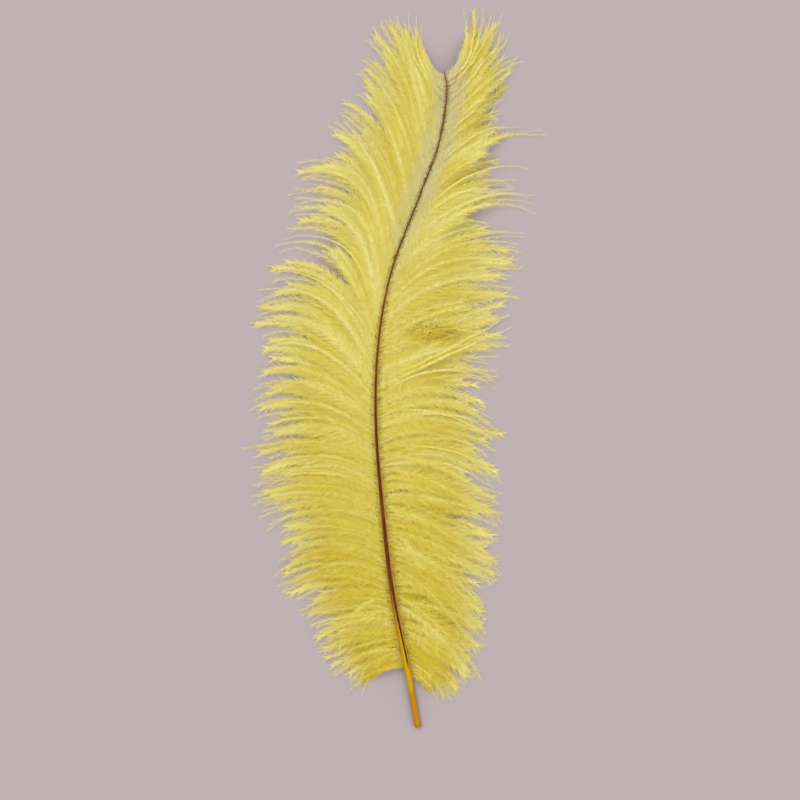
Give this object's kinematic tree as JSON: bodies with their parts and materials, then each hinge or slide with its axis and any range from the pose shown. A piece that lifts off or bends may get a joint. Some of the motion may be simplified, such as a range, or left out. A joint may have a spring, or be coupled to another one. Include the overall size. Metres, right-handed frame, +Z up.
{
  "type": "ostrich feather",
  "caption": "Dyed yellow ostrich feather lying flat: a curved shaft that tapers from a bare cut quill, with long soft drooping barbs on both sides.",
  "frame": {"origin": "middle of the feather's outline seen from above, on the surface that it lies on", "axes": "+Y along the feather from the cut quill to the tip, +Z up from the surface, +X to the right of a viewer who looks down with the quill nearest"},
  "size_m": [0.178, 0.4361, 0.0136],
  "materials": {
    "vane": "soft matte barbs dyed lemon yellow, brown at their roots",
    "shaft": "satin horn, dark brown along the vane and ochre yellow at the bare quill"
  },
  "bodies": {
    "root": {"feather": "vane"}
  },
  "joints": []
}
